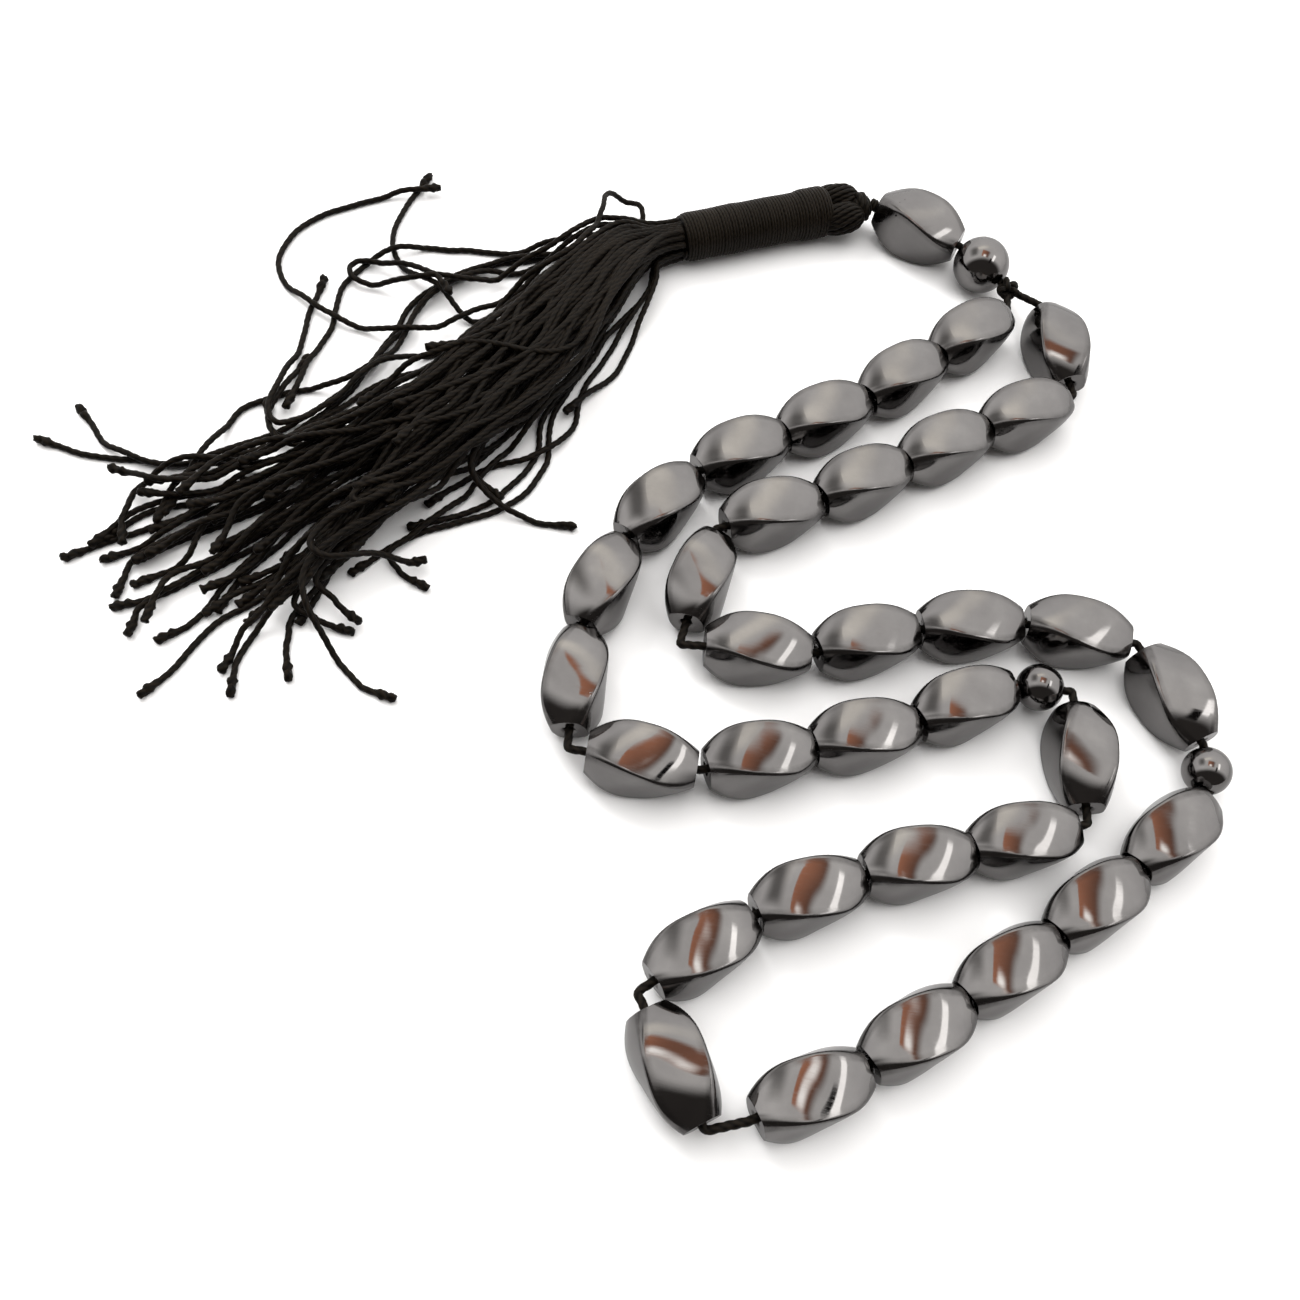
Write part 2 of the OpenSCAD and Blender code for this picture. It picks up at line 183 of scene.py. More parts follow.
class Pile:
    """Gathers several tubes into one mesh."""

    def __init__(self):
        self.v, self.q, self.e, self.g, self.n = [], [], [], [], 0

    def add(self, V, Q, E, G):
        self.v.append(V)
        self.q.append(Q + self.n)
        self.e += [[i + self.n for i in f] for f in E]
        self.g.append(G)
        self.n += len(V)

    def build(self, name, mat):
        return add_mesh(name, np.vstack(self.v), np.vstack(self.q), mat, self.e, {"groove": np.concatenate(self.g)})


# ------------------------------------------------------------------ materials
def new_mat(name):
    m = bpy.data.materials.new(name)
    m.use_nodes = True
    nt = m.node_tree
    return m, nt, nt.nodes["Principled BSDF"]


def node(nt, kind, **kw):
    n = nt.nodes.new(kind)
    for k, v in kw.items():
        if k == "inputs":
            for i, val in v.items():
                n.inputs[i].default_value = val
        else:
            setattr(n, k, v)
    return n


def ramp(nt, src, stops):
    r = node(nt, "ShaderNodeValToRGB")
    els = r.color_ramp.elements
    while len(els) < len(stops):
        els.new(0.5)
    for e, (p, c) in zip(els, stops):
        e.position = p
        e.color = (*c, 1) if len(c) == 3 else c
    nt.links.new(src, r.inputs["Fac"])
    return r.outputs["Color"]


def hematite(name, seed):
    m, nt, bsdf = new_mat(name)
    L = nt.links.new
    tc = node(nt, "ShaderNodeTexCoord")
    mp = node(nt, "ShaderNodeMapping")
    mp.inputs["Location"].default_value = (seed * 0.37, seed * 0.61, seed * 0.13)
    L(tc.outputs["Object"], mp.inputs["Vector"])
    v = mp.outputs["Vector"]
    # slow grey variation of the stone
    n1 = node(nt, "ShaderNodeTexNoise", inputs={"Scale": 180.0, "Detail": 4.0, "Roughness": 0.55})
    L(v, n1.inputs["Vector"])
    base = ramp(nt, n1.outputs["Fac"], [(0.3, (0.185, 0.178, 0.176)), (0.55, (0.215, 0.207, 0.204)), (0.75, (0.25, 0.241, 0.236))])
    # painted shade along the arrises and round and in the bores: the base colour is mixed towards near black there in
    # a mottled pattern, standing in for the dark reflections the arrises pick up and the shade in the holes; the same
    # mask also makes the polish rougher there, as wear
    edge = node(nt, "ShaderNodeAttribute", attribute_name="edge")
    n2 = node(nt, "ShaderNodeTexNoise", inputs={"Scale": 900.0, "Detail": 5.0, "Roughness": 0.6})
    L(v, n2.inputs["Vector"])
    em = node(nt, "ShaderNodeMath", operation="MULTIPLY")
    L(edge.outputs["Fac"], em.inputs[0])
    L(n2.outputs["Fac"], em.inputs[1])
    mix = node(nt, "ShaderNodeMix", data_type="RGBA")
    L(em.outputs[0], mix.inputs["Factor"])
    L(base, mix.inputs["A"])
    mix.inputs["B"].default_value = (0.05, 0.047, 0.046, 1)
    # small pits in the polish
    vo = node(nt, "ShaderNodeTexVoronoi", inputs={"Scale": 420.0, "Randomness": 1.0})
    L(v, vo.inputs["Vector"])
    pit = ramp(nt, vo.outputs["Distance"], [(0.0, (1, 1, 1)), (0.05, (1, 1, 1)), (0.09, (0, 0, 0))])
    n3 = node(nt, "ShaderNodeTexNoise", inputs={"Scale": 260.0, "Detail": 1.0})
    L(v, n3.inputs["Vector"])
    few = ramp(nt, n3.outputs["Fac"], [(0.66, (0, 0, 0)), (0.72, (1, 1, 1))])
    pm = node(nt, "ShaderNodeMath", operation="MULTIPLY")
    L(pit, pm.inputs[0])
    L(few, pm.inputs[1])
    mix2 = node(nt, "ShaderNodeMix", data_type="RGBA")
    L(pm.outputs[0], mix2.inputs["Factor"])
    L(mix.outputs["Result"], mix2.inputs["A"])
    mix2.inputs["B"].default_value = (0.03, 0.028, 0.027, 1)
    L(mix2.outputs["Result"], bsdf.inputs["Base Color"])
    # polish, with hairline scratches
    sc = node(nt, "ShaderNodeMapping")
    sc.inputs["Scale"].default_value = (1.0, 9.0, 2.0)
    sc.inputs["Rotation"].default_value = (0.3, 0.2, 0.7 + seed)
    L(v, sc.inputs["Vector"])
    n4 = node(nt, "ShaderNodeTexNoise", inputs={"Scale": 600.0, "Detail": 3.0, "Roughness": 0.7})
    L(sc.outputs["Vector"], n4.inputs["Vector"])
    ro = node(nt, "ShaderNodeMapRange", inputs={"From Min": 0.45, "From Max": 0.8, "To Min": 0.045, "To Max": 0.16})
    L(n4.outputs["Fac"], ro.inputs["Value"])
    ra = node(nt, "ShaderNodeMath", operation="ADD")
    L(ro.outputs["Result"], ra.inputs[0])
    re = node(nt, "ShaderNodeMath", operation="MULTIPLY", inputs={1: 0.3})
    L(em.outputs[0], re.inputs[0])
    L(re.outputs[0], ra.inputs[1])
    L(ra.outputs[0], bsdf.inputs["Roughness"])
    bsdf.inputs["Metallic"].default_value = 1.0
    # the slight waviness of hand polish, the scratches and the pits
    n5 = node(nt, "ShaderNodeTexNoise", inputs={"Scale": 150.0, "Detail": 1.0})
    L(v, n5.inputs["Vector"])
    b1 = node(nt, "ShaderNodeBump", inputs={"Strength": 0.35, "Distance": 0.00006})
    L(n5.outputs["Fac"], b1.inputs["Height"])
    b2 = node(nt, "ShaderNodeBump", inputs={"Strength": 0.25, "Distance": 0.000006})
    L(n4.outputs["Fac"], b2.inputs["Height"])
    L(b1.outputs["Normal"], b2.inputs["Normal"])
    b3 = node(nt, "ShaderNodeBump", invert=True, inputs={"Strength": 0.6, "Distance": 0.00005})
    L(pm.outputs[0], b3.inputs["Height"])
    L(b2.outputs["Normal"], b3.inputs["Normal"])
    L(b3.outputs["Normal"], bsdf.inputs["Normal"])
    return m


def cord_mat(name, light=(0.030, 0.027, 0.024), dark=(0.006, 0.005, 0.0045), rough=0.42, fibre=2600.0):
    m, nt, bsdf = new_mat(name)
    L = nt.links.new
    tc = node(nt, "ShaderNodeTexCoord")
    g = node(nt, "ShaderNodeAttribute", attribute_name="groove")
    n1 = node(nt, "ShaderNodeTexNoise", inputs={"Scale": fibre, "Detail": 4.0, "Roughness": 0.65})
    L(tc.outputs["Object"], n1.inputs["Vector"])
    n2 = node(nt, "ShaderNodeTexNoise", inputs={"Scale": 90.0, "Detail": 2.0})
    L(tc.outputs["Object"], n2.inputs["Vector"])
    # painted shade and painted highlight on the twist: the colour runs from dark in the grooves between the plies to
    # light on their crowns, with flecks of about twice the light colour where the fibre noise is high
    mx = node(nt, "ShaderNodeMath", operation="MULTIPLY")
    inv = node(nt, "ShaderNodeMath", operation="SUBTRACT", inputs={0: 1.0})
    L(g.outputs["Fac"], inv.inputs[1])
    L(inv.outputs[0], mx.inputs[0])
    L(n1.outputs["Fac"], mx.inputs[1])
    c1 = ramp(nt, mx.outputs[0], [(0.05, dark), (0.35, light), (0.75, tuple(2.1 * x for x in light))])
    mix = node(nt, "ShaderNodeMix", data_type="RGBA", blend_type="MULTIPLY")
    mix.inputs["Factor"].default_value = 0.6
    L(c1, mix.inputs["A"])
    c2 = ramp(nt, n2.outputs["Fac"], [(0.35, (0.6, 0.58, 0.56)), (0.7, (1.25, 1.2, 1.15))])
    L(c2, mix.inputs["B"])
    L(mix.outputs["Result"], bsdf.inputs["Base Color"])
    rr = node(nt, "ShaderNodeMapRange", inputs={"From Min": 0.3, "From Max": 0.7, "To Min": rough - 0.08, "To Max": rough + 0.22})
    L(n1.outputs["Fac"], rr.inputs["Value"])
    L(rr.outputs["Result"], bsdf.inputs["Roughness"])
    bsdf.inputs["Specular IOR Level"].default_value = 0.1
    bsdf.inputs["Sheen Weight"].default_value = 0.02
    bsdf.inputs["Sheen Roughness"].default_value = 0.4
    b = node(nt, "ShaderNodeBump", inputs={"Strength": 0.5, "Distance": 0.00005})
    L(n1.outputs["Fac"], b.inputs["Height"])
    L(b.outputs["Normal"], bsdf.inputs["Normal"])
    return m


# ------------------------------------------------------------------ tassel strands, which are free cords
WHIP_Z, FOLD_L, WHIP_L, WHIP_R = 3.35, 6.8, 21.3, 3.3
NECK_Z = JOINT["tassel_lift"]["pos_m"][2] / MM
NECK_END = np.array(JOINT["tassel_lift"]["pos_m"]) / MM
FOLD_TURN, WHIP_TURN = 198.0, 207.0
STRAND_R, TIP_R = 0.40, 0.60
ROWS, ROW_GAP, COL_GAP = 8, 0.84, 0.84
SQUEEZE = 0.84   # the binding presses the soft strands closer than the CAD rows stand


def heading(a):
    return np.array([math.cos(math.radians(a)), math.sin(math.radians(a)), 0.0])


FOLD_END = np.array([NECK_END[0], NECK_END[1], WHIP_Z]) + FOLD_L * heading(FOLD_TURN)
SKIRT = FOLD_END + WHIP_L * heading(WHIP_TURN)
WHIP_SIDE = np.cross([0, 0, 1.0], heading(WHIP_TURN))

# the routes of the tassel strands on the table, in millimetres, as in the CAD model
EDGES = [((-55, -1), (-50, -14)), ((-65, -13), (-55, -31)), ((-77, -29), (-66, -50)), ((-89, -42), (-78, -63)), ((-96, -50), (-92, -67))]
ROUTES = [
    [[1, [(-61.5, -5.5), (-67.5, -8), (-72.5, -12), (-77, -17.5), (-79, -24), (-81.5, -33.5), (-87.5, -41), (-96, -47), (-105, -48), (-112.5, -48), (-113.5, -48)]],
     [3, [(-90, -50.5), (-100.5, -58), (-105, -61.5)]],
     [4, [(-95.5, -65.5), (-97.5, -67)]],
     [0, [(-47.5, -9), (-52, -18.5), (-56, -31), (-55, -38.5), (-59.5, -45.5), (-66, -50), (-71.5, -54), (-73.5, -56)]]],
    [[1, [(-62, -6), (-68, -9), (-73.5, -13), (-76.5, -18), (-77.5, -23.5), (-81.5, -32.5), (-89, -41), (-97, -47.5), (-106.5, -47), (-111, -43.5)]],
     [3, [(-90.5, -48.5), (-99.5, -54), (-103.5, -58.5)]],
     [3, [(-87.5, -52), (-95, -57.5), (-99.5, -61.5), (-100, -64)]],
     [4, [(-90, -66.5), (-92, -69)]],
     [3, [(-78.5, -62.5), (-79, -67.5), (-78.5, -70.5)]],
     [0, [(-47.5, -10), (-52, -19.5), (-56.5, -31.5), (-57, -38), (-61, -45), (-65.5, -49), (-67.5, -50)]]],
    [[1, [(-62, -7.5), (-68.5, -10.5), (-73.5, -14.5), (-76.5, -20), (-78, -27), (-82.5, -32.5), (-89, -34.5), (-93.5, -38), (-95, -44), (-96, -50), (-97, -53)]],
     [3, [(-90.5, -51.5), (-98, -58), (-101, -60.5)]],
     [4, [(-95.5, -66), (-96.5, -68.5)]],
     [3, [(-80.5, -59.5), (-87.5, -67.5), (-92, -75.5)]],
     [3, [(-79, -61.5), (-77, -65), (-74.5, -65.5)]],
     [0, [(-47, -9), (-50.5, -18.5), (-52.5, -25.5), (-53, -32.5), (-57.5, -38), (-62, -40), (-65.5, -44), (-66.5, -45.5)]]],
    [[1, [(-61, -11), (-65, -15.5), (-69, -18.5), (-74, -15), (-79.5, -12), (-82.5, -8), (-82, -2.5), (-80.5, 3)]],
     [2, [(-77.5, -28.5), (-83.5, -36), (-87.5, -40.5), (-90, -38.5), (-90, -34.5), (-89, -28), (-89.5, -18)]],
     [3, [(-89.5, -53), (-93, -60.5), (-96.5, -63)]],
     [3, [(-87.5, -58), (-94, -62.5), (-95, -65.5), (-95, -67)]],
     [3, [(-80.5, -63.5), (-84, -70.5), (-84, -73.5)]],
     [3, [(-77, -59.5), (-75, -62.5), (-73.5, -63.5)]],
     [0, [(-46.5, -8.5), (-47.5, -14), (-49, -22.5), (-52.5, -27), (-53.5, -28.5)]]],
    [[1, [(-61.5, -4), (-67, -6.5), (-73, -7), (-78, -7.5), (-83, -11), (-86.5, -16.5), (-86.5, -24.5), (-87.5, -32.5), (-88, -35)]],
     [3, [(-88.5, -46), (-97, -48), (-101.5, -52), (-102, -56.5), (-101.5, -58)]],
     [3, [(-88.5, -51.5), (-92, -54)]],
     [3, [(-80.5, -58), (-84.5, -63)]],
     [2, [(-63.5, -44), (-68, -50.5), (-71, -54.5), (-69, -56.5), (-67.5, -57)]]],
    [[1, [(-61, -8.5), (-66, -14), (-70, -19), (-74, -22), (-80, -23), (-87, -21.5), (-93.5, -18.5), (-95.5, -13.5), (-93.5, -6.5), (-86, -0.5), (-80, 1.5)]],
     [3, [(-89.5, -47), (-96.5, -51.5), (-103, -51.5)]],
     [3, [(-88.5, -53.5), (-95.5, -60)]],
     [3, [(-85.5, -59), (-88.5, -62.5)]],
     [3, [(-81, -64), (-84, -68), (-85, -71)]],
     [3, [(-70.5, -49)]],
     [2, [(-61.5, -37), (-64, -42.5), (-61.5, -45), (-55.5, -46.5), (-52.5, -46.5)]]],
    [[1, [(-61, -7.5), (-67, -11), (-74, -14), (-81.5, -16), (-85.5, -15.5), (-85.5, -13), (-80, -12.5), (-75, -14), (-73.5, -15)]],
     [3, [(-90, -46), (-94.5, -51.5)]],
     [3, [(-86, -51.5), (-89, -58)]],
     [3, [(-79.5, -56.5), (-82, -62)]],
     [2, [(-67, -47), (-75, -56), (-78, -62), (-75, -68), (-70.5, -71.5), (-68, -72)]]],
    [[0, [(-50.5, 5), (-53.5, 5), (-55, 3), (-55, -0.5), (-55.5, -4.5), (-58, -9), (-63.5, -14), (-67, -19)]],
     [2, [(-72.5, -31), (-77, -36)]],
     [2, [(-68, -36), (-71, -42)]],
     [2, [(-66.5, -45), (-72.5, -51.5), (-77, -55), (-78.5, -58.5), (-75.5, -60), (-71, -57), (-68, -55.5)]]]
]


def ring_points(centre, axis, rad, n=64, turns=1.0, rise=0.0, phase=0.0, wob=0.0):
    axis = unit(axis)
    s = unit(np.cross(axis, [0.1, 0.2, 1.0]))
    u = np.cross(axis, s)
    a = np.linspace(0, 2 * np.pi * turns, int(n * turns) + 1) + phase
    r = rad * (1 + wob * np.sin(2.3 * a + 1.0))
    return centre + r[:, None] * (np.cos(a)[:, None] * s + np.sin(a)[:, None] * u) + (rise * (a - phase) / (2 * np.pi))[:, None] * axis


def lane(r, c, k):
    f = (c + 0.5 + 0.4 * math.sin(math.radians(110 * r + 75 * k))) / len(ROUTES[r])
    return (1 - f) * np.array(EDGES[k][0], float) + f * np.array(EDGES[k][1], float)


def strand_route(r, c, steps=14):
    m = len(ROUTES[r])
    s = WHIP_SIDE[:2] * (c - (m - 1) / 2) * COL_GAP * SQUEEZE * (1 if 0 < r < ROWS - 1 else 0.85)
    root = SKIRT[:2] + s
    n, pts = ROUTES[r][c]
    far = [lane(r, c, k) for k in range(n)] + [np.array(p, float) for p in pts]
    out = root + 4 * unit(1.5 * heading(WHIP_TURN)[:2] + unit(far[0] - root))
    return catmull([root, out] + far, steps)


def root_height(r):
    return WHIP_Z + (r - (ROWS - 1) / 2) * ROW_GAP * SQUEEZE


def drape(paths, heights):
    """Lays each strand on the table and on those below it. paths are XY in mm, the lowest first."""
    done_xy, done_z, out = [], [], []
    for k, (xy, z0) in enumerate(zip(paths, heights)):
        s = arc_len(xy)
        need = np.full(len(xy), STRAND_R + 0.02)
        if done_xy:
            A = np.vstack(done_xy)
            Z = np.concatenate(done_z)
            for i0 in range(0, len(xy), 200):
                d2 = ((xy[i0:i0 + 200, None, :] - A[None]) ** 2).sum(-1)
                reach = (2.1 * STRAND_R) ** 2
                lift = np.where(d2 < reach, Z[None] + np.sqrt(np.maximum(reach - d2, 0)), 0)
                need[i0:i0 + 200] = np.maximum(need[i0:i0 + 200], lift.max(axis=1))
        # where it leaves the binding it starts at its own height
        need[0] = max(need[0], z0)
        # a limp cord falls away from what holds it up along a shallow curve
        ds = np.abs(s[:, None] - s[None, :])
        z = (need[None, :] - 0.055 * ds ** 2).max(axis=1)
        z = np.maximum(z, need)
        z = np.concatenate([[z[0]] * 6, z, [z[-1]] * 6])
        ker = np.hanning(9)
        ker /= ker.sum()
        z2 = np.convolve(z, ker, mode="same")[6:-6]
        # packed tight at the binding, and the top of the pile sinks into what is below
        near = np.clip(s / 11, 0, 1)
        near = near * near * (3 - 2 * near)
        z2 = z0 + (z2 - z0) * near
        top = 2.0 + 0.2 * np.minimum(s, 30)
        z2 = np.where(z2 > 5.0, 5.0 + top * (1 - np.exp(-np.maximum(z2 - 5.0, 0) / top)), z2)
        done_xy.append(xy[3:])
        done_z.append(z2[3:])
        out.append(np.column_stack([xy, z2]))
    return out


strand_paths, strand_keys, root_z = [], [], []
for r, row in enumerate(ROUTES):
    for c in range(len(row)):
        xy = resample(strand_route(r, c), 0.4)
        s = arc_len(xy)
        g = np.random.default_rng(1000 + 31 * r + c)
        T2 = unit(np.gradient(xy, axis=0))
        N2 = np.column_stack([-T2[:, 1], T2[:, 0]])
        fade = np.clip((s - 6) / 14, 0, 1)
        wave = sum(a * np.sin(2 * np.pi * s / w + g.uniform(0, 6.28)) for a, w in
                   ((0.3, g.uniform(17, 25)), (0.12, g.uniform(9, 13)), (0.04, g.uniform(4.5, 6))))
        strand_paths.append(resample(xy + N2 * (wave * fade)[:, None], 0.35))
        strand_keys.append((r, c))
        root_z.append(root_height(r))
# more strands of the same bundle, each between two of those above
for r, row in enumerate(ROUTES):
    for c in range(len(row) - 1):
        if row[c][0] < 2 or row[c + 1][0] < 2:
            continue
        g = np.random.default_rng(3000 + 31 * r + c)
        a, b = (resample(strand_route(r, k), 0.4) for k in (c, c + 1))
        u = np.linspace(0, 1, 220)
        a, b = (np.column_stack([np.interp(u, np.linspace(0, 1, len(p)), p[:, k]) for k in (0, 1)]) for p in (a, b))
        f = g.uniform(0.35, 0.65) + 0.3 * np.sin(2 * np.pi * u * g.uniform(0.5, 1.1) + g.uniform(0, 6.28))
        f = 0.5 + (f - 0.5) * np.clip(u * 6, 0, 1)
        p = (1 - f)[:, None] * a + f[:, None] * b
        p = resample(p[:int(220 * g.uniform(0.8, 0.98))], 0.35)
        s = arc_len(p)
        T2 = unit(np.gradient(p, axis=0))
        wave = 0.7 * np.sin(2 * np.pi * s / g.uniform(32, 48) + g.uniform(0, 6.28)) + 0.2 * np.sin(2 * np.pi * s / g.uniform(12, 18) + g.uniform(0, 6.28))
        p = p + np.column_stack([-T2[:, 1], T2[:, 0]]) * (wave * np.clip((s - 6) / 14, 0, 1))[:, None]
        strand_paths.append(resample(p, 0.35))
        strand_keys.append((r, 50 + c))
        root_z.append(root_height(r))
for r, row in enumerate(ROUTES):
    for c in range(len(row) - 2):
        if row[c][0] < 2 or row[c + 2][0] < 2:
            continue
        g = np.random.default_rng(7000 + 31 * r + c)
        u = np.linspace(0, 1, 220)
        a, b = (resample(strand_route(r, k), 0.4) for k in ((c, c + 2) if g.random() < 0.5 else (c + 2, c)))
        a, b = (np.column_stack([np.interp(u, np.linspace(0, 1, len(p)), p[:, k]) for k in (0, 1)]) for p in (a, b))
        f = 1 / (1 + np.exp(-(u - g.uniform(0.35, 0.6)) * 11))
        p = (1 - f)[:, None] * a + f[:, None] * b
        p = resample(p[:int(220 * g.uniform(0.75, 0.96))], 0.35)
        s = arc_len(p)
        T2 = unit(np.gradient(p, axis=0))
        wave = 1.1 * np.sin(2 * np.pi * s / g.uniform(30, 44) + g.uniform(0, 6.28)) + 0.25 * np.sin(2 * np.pi * s / g.uniform(11, 17) + g.uniform(0, 6.28))
        p = p + np.column_stack([-T2[:, 1], T2[:, 0]]) * (wave * np.clip((s - 6) / 14, 0, 1))[:, None]
        strand_paths.append(resample(p, 0.35))
        strand_keys.append((r, 70 + c))
        root_z.append(root_height(r))
order = sorted(range(len(strand_keys)), key=lambda k: (strand_keys[k][0], strand_keys[k][1] < 50, strand_keys[k][1]))
strand_paths, strand_keys, root_z = ([x[k] for k in order] for x in (strand_paths, strand_keys, root_z))
strand_paths = drape(strand_paths, root_z)
k = strand_keys.index((7, 0))   # this one springs up in a loop beside the binding
s = arc_len(strand_paths[k])
q, v = np.clip(s / 6.5, 0, 1), np.clip((s - 9) / 7, 0, 1)
q, v = q * q * (3 - 2 * q), v * v * (3 - 2 * v)
z = STRAND_R + 0.02 + (strand_paths[k][0, 2] - STRAND_R) * (1 - q) + 1.3 * np.exp(-((s - 9.5) / 2.8) ** 2)
strand_paths[k][:, 2] = (1 - v) * z + v * strand_paths[k][:, 2]
strand_mat = cord_mat("black_twisted_nylon", light=(0.0062, 0.0044, 0.0026), dark=(0.0006, 0.0005, 0.0004), rough=0.4)


def strand_piece(name, P, seed):
    g = np.random.default_rng(seed)
    d = unit(P[-1] - P[-4])
    d[2] = 0
    tail = [P[-1] + d * x for x in np.arange(0.35, 2.5, 0.2)]
    Q = np.vstack([P, tail])
    Q[:, 2] = np.maximum(Q[:, 2], STRAND_R)
    s = arc_len(Q)
    e = s[-1] - s
    # the last 2 mm is a tight little knot, with the cut fibres at its end
    kn = 0.5 * (1 + np.tanh((2.3 - e) / 0.22))
    sc = 1 + kn * (TIP_R / STRAND_R * (0.93 + 0.1 * np.sin(5.5 * e + g.uniform(0, 6.28))) - 1)
    sc = np.where(e < 0.25, sc * (0.72 + 1.1 * e), sc)
    Q[:, 2] += np.maximum(0, STRAND_R * sc - Q[:, 2]) * kn
    ph = g.uniform(0, 6.28)

    def lumps(sv, a):
        near = 0.5 * (1 + np.tanh((2.2 - (s[-1] - sv)) / 0.2))
        tip = np.clip(1 - (s[-1] - sv) / 0.5, 0, 1)
        return near * 0.14 * np.cos(2 * a + 3.6 * sv + ph) + tip * 0.22 * np.cos(5 * a + ph)
    V, F, E, G = ply_tube(Q, STRAND_R, 3, 3.3 + 0.5 * g.random(), 0.3, 12, ph, sc, lumps)
    o = add_mesh(name, V, F, strand_mat, E, {"groove": G})
    return o, Q


strand_objects = []
declared = 0
for k, ((r, c), P) in enumerate(zip(strand_keys, strand_paths)):
    o, Q = strand_piece(f"strand_{r + 1}_{c + 1}", P, 500 + k)
    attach(o, "tassel")
    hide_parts(f"strands_{r + 1}")
    strand_objects.append(o)
    if c >= 50 or declared >= 40:
        continue
    declared += 1

# ------------------------------------------------------------------ beads
BEAD_L, BEAD_W, BEAD_END, TWIST = 12.0, 6.9, 4.0, 40.0
IMAME_L, IMAME_W = 12.0, 7.2
BORE_R, CORD_R, DIVIDER_R, BALL_R = 0.55, 0.5, 2.7, 3.7


def rounded_square(n_side, h, rho, bulge):
    """Points of a square with round corners and slightly full sides, and how close each is to an arris."""
    pts, edge = [], []
    for q in range(4):
        a0 = q * 90
        rot = np.array([[math.cos(math.radians(a0)), -math.sin(math.radians(a0))],
                        [math.sin(math.radians(a0)), math.cos(math.radians(a0))]])
        # side, from its middle round half a corner each way, as a run along y
        ys = np.linspace(-(h - rho), h - rho, n_side)
        side = np.column_stack([h + bulge * (1 - (ys / (h - rho)) ** 2), ys])
        for p in side[:-1]:
            pts.append(rot @ p)
            edge.append(max(0.0, 1 - (h - rho - abs(p[1])) / (0.35 * rho)) * 0.6)
        for t in np.linspace(0, 90, 7)[:-1] if rho > 0 else []:
            p = np.array([h - rho + rho * math.cos(math.radians(t)), h - rho + rho * math.sin(math.radians(t))])
            pts.append(rot @ p)
            edge.append(1.0)
    return np.array(pts), np.array(edge)


def bead_mesh(name, centre, turn, length, w, phase, mat, seed):
    """A twisted four-sided bead with its axis along the heading, centred at centre, in mm."""
    g = np.random.default_rng(seed)
    n = 73
    t = np.linspace(0, 1, n)
    t = 0.5 - 0.5 * np.cos(np.pi * t) * (0.75 + 0.25 * np.abs(np.cos(np.pi * t)))
    t[0], t[-1] = 0, 1
    rings, edges = [], []
    for x in t:
        h = (BEAD_END + (w - BEAD_END) * (1 - abs(2 * x - 1) ** 2.6)) / 2
        k = abs(2 * x - 1) ** 2.6
        rho = h * (ROUND_MID + (ROUND_END - ROUND_MID) * k)
        pts, e = rounded_square(11, h / 1.05, rho, 0.07 * h)
        a = math.radians(phase + (x - 0.5) * TWIST)
        rot = np.array([[math.cos(a), -math.sin(a)], [math.sin(a), math.cos(a)]])
        p = pts @ rot.T
        rings.append(np.column_stack([np.full(len(p), (x - 0.5) * length), p]))
        edges.append(e * (0.6 + 0.4 * min(1, abs(2 * x - 1) ** 4 + 0.2)))
    m = len(rings[0])
    # end faces: in to the hole, a small countersink, then the bore
    def end(sign):
        out, ed = [], []
        base = rings[0] if sign < 0 else rings[-1]
        # the edge values given to these rings make the stone material paint the rim and, most of all, the bore dark:
        # painted shade in and round the hole
        for f, dx, e in ((0.93, 0.10, 1.0), (0.7, 0.13, 0.3), (0.5, 0.14, 0.3)):
            q = base.copy()
            q[:, 1:] *= f
            q[:, 0] += sign * dx * 0.0 + (0.0)
            out.append(q)
            ed.append(np.full(m, e * 0.5))
        ang = np.arctan2(base[:, 2], base[:, 1])
        for rr, dx in ((BORE_R * 1.5, 0.0), (BORE_R * 1.05, -0.3), (BORE_R, -0.45), (BORE_R, -2.5)):
            q = np.column_stack([np.full(m, sign * (length / 2 + dx)), rr * np.cos(ang), rr * np.sin(ang)])
            out.append(q)
            ed.append(np.full(m, 0.8))
        return out, ed
    lo, el = end(-1)
    hi, eh = end(1)
    allr = lo[::-1] + rings + hi
    alle = el[::-1] + edges + eh
    V = np.vstack(allr)
    c, s = math.cos(math.radians(turn)), math.sin(math.radians(turn))
    R = np.array([[c, s, 0], [-s, c, 0], [0, 0, 1]])
    V = V @ R + np.asarray(centre)
    Q = grid_faces(len(allr), m)[:, ::-1]
    return add_mesh(name, V, Q, mat, (), {"edge": np.concatenate(alle)})


